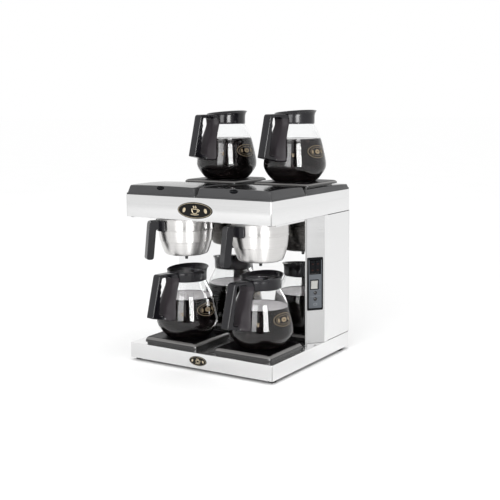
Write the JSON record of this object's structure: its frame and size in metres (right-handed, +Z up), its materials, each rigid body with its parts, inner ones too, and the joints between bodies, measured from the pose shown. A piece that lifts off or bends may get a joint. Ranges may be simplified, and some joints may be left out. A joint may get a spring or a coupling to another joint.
{
  "type": "commercial coffee brewer",
  "caption": "Twin filter coffee brewer: stainless chassis with fill lids on top, sliding brew baskets, glass jugs on hot plates and switch panels.",
  "frame": {"origin": "on the ground under the middle of the whole brewer's width and depth, jugs on their plates", "axes": "+X to the brewer's right as seen from the front, +Y to its back, +Z up"},
  "size_m": [0.428, 0.4458, 0.6318],
  "materials": {
    "steel": "satin",
    "mirror_steel": "polished",
    "basket_steel": "polished",
    "aluminium": "satin",
    "gloss_black": "glossy",
    "black_plastic": "satin",
    "enamel": "satin",
    "white_plastic": "satin",
    "tank_plastic": "satin",
    "silicone": "satin",
    "rubber": "matte",
    "badge": "glossy",
    "glass": "clear",
    "coffee": "glossy"
  },
  "bodies": {
    "chassis": {"base_badge": "badge", "base_floor": "steel", "base_tray": "steel", "basket_rail_left": "steel", "basket_rail_right": "steel", "brew_plate": "steel", "cable_gland": "black_plastic", "column_front": "mirror_steel", "column_side_left": "steel", "column_side_right": "steel", "control_panel_left": "gloss_black", "control_panel_right": "gloss_black", "feed_tube_left": "silicone", "feed_tube_right": "silicone", "flow_heater_left": "aluminium", "flow_heater_right": "aluminium", "foot_front_left": "rubber", "foot_front_right": "rubber", "foot_rear_left": "rubber", "foot_rear_right": "rubber", "hood_badge": "badge", "hood_shell": "steel", "hot_plate_lower_left": "enamel", "hot_plate_lower_right": "enamel", "hot_plate_upper_left": "enamel", "hot_plate_upper_right": "enamel", "plate_heater_lower_left": "aluminium", "plate_heater_lower_right": "aluminium", "plate_heater_upper_left": "aluminium", "plate_heater_upper_right": "aluminium", "rear_panel": "steel", "riser_tube_left": "silicone", "riser_tube_right": "silicone", "spray_head_left": "white_plastic", "spray_head_right": "white_plastic", "terminal_block": "white_plastic", "top_cover_left": "gloss_black", "top_cover_right": "gloss_black", "water_tank_left": "tank_plastic", "water_tank_right": "tank_plastic"},
    "fill_lid_left": {"fill_lid_left": "gloss_black"},
    "fill_lid_right": {"fill_lid_right": "gloss_black"},
    "brew_basket_left": {"filter_basket_left": "basket_steel", "basket_handle_left": "black_plastic"},
    "brew_basket_right": {"filter_basket_right": "basket_steel", "basket_handle_right": "black_plastic"},
    "jug_lower_left": {"jug_glass_lower_left": "glass", "jug_handle_lower_left": "black_plastic"},
    "jug_lower_right": {"jug_glass_lower_right": "glass", "jug_handle_lower_right": "black_plastic"},
    "jug_upper_left": {"jug_glass_upper_left": "glass", "jug_handle_upper_left": "black_plastic"},
    "jug_upper_right": {"jug_glass_upper_right": "glass", "jug_handle_upper_right": "black_plastic"},
    "plate_rocker_upper_left": {"plate_rocker_upper_left": "gloss_black"},
    "plate_rocker_lower_left": {"plate_rocker_lower_left": "gloss_black"},
    "brew_rocker_left": {"brew_rocker_left": "white_plastic"},
    "plate_rocker_upper_right": {"plate_rocker_upper_right": "gloss_black"},
    "plate_rocker_lower_right": {"plate_rocker_lower_right": "gloss_black"},
    "brew_rocker_right": {"brew_rocker_right": "white_plastic"}
  },
  "joints": [
    {"name": "fill_lid_left_hinge", "type": "hinge", "parent": "chassis", "child": "fill_lid_left", "pos_m": [-0.107, -0.015, 0.444], "axis": [-1, 0, 0], "range_deg": [0, 60]},
    {"name": "fill_lid_right_hinge", "type": "hinge", "parent": "chassis", "child": "fill_lid_right", "pos_m": [0.107, -0.015, 0.444], "axis": [-1, 0, 0], "range_deg": [0, 60]},
    {"name": "brew_basket_left_slide", "type": "slide", "parent": "chassis", "child": "brew_basket_left", "axis": [0, -1, 0], "range_m": [0, 0.17]},
    {"name": "brew_basket_right_slide", "type": "slide", "parent": "chassis", "child": "brew_basket_right", "axis": [0, -1, 0], "range_m": [0, 0.17]},
    {"name": "jug_lower_left_slide", "type": "slide", "parent": "chassis", "child": "jug_lower_left", "axis": [0, -1, 0], "range_m": [0, 0.2]},
    {"name": "jug_lower_right_slide", "type": "slide", "parent": "chassis", "child": "jug_lower_right", "axis": [0, -1, 0], "range_m": [0, 0.2]},
    {"name": "jug_upper_left_lift", "type": "slide", "parent": "chassis", "child": "jug_upper_left", "axis": [0, 0, 1], "range_m": [0, 0.2]},
    {"name": "jug_upper_right_lift", "type": "slide", "parent": "chassis", "child": "jug_upper_right", "axis": [0, 0, 1], "range_m": [0, 0.2]},
    {"name": "plate_rocker_upper_left_hinge", "type": "hinge", "parent": "chassis", "child": "plate_rocker_upper_left", "pos_m": [-0.20096, 0.06203, 0.2434], "axis": [-0.6256, 0.7801, 0], "range_deg": [0, 12]},
    {"name": "plate_rocker_lower_left_hinge", "type": "hinge", "parent": "chassis", "child": "plate_rocker_lower_left", "pos_m": [-0.19232, 0.05127, 0.2434], "axis": [-0.6256, 0.7801, 0], "range_deg": [0, 12]},
    {"name": "brew_rocker_left_hinge", "type": "hinge", "parent": "chassis", "child": "brew_rocker_left", "pos_m": [-0.19527, 0.05494, 0.1979], "axis": [-0.6256, 0.7801, 0], "range_deg": [0, 12]},
    {"name": "plate_rocker_upper_right_hinge", "type": "hinge", "parent": "chassis", "child": "plate_rocker_upper_right", "pos_m": [0.19232, 0.05127, 0.2434], "axis": [-0.6256, -0.7801, 0], "range_deg": [0, 12]},
    {"name": "plate_rocker_lower_right_hinge", "type": "hinge", "parent": "chassis", "child": "plate_rocker_lower_right", "pos_m": [0.20096, 0.06203, 0.2434], "axis": [-0.6256, -0.7801, 0], "range_deg": [0, 12]},
    {"name": "brew_rocker_right_hinge", "type": "hinge", "parent": "chassis", "child": "brew_rocker_right", "pos_m": [0.19527, 0.05494, 0.1979], "axis": [-0.6256, -0.7801, 0], "range_deg": [0, 12]}
  ]
}
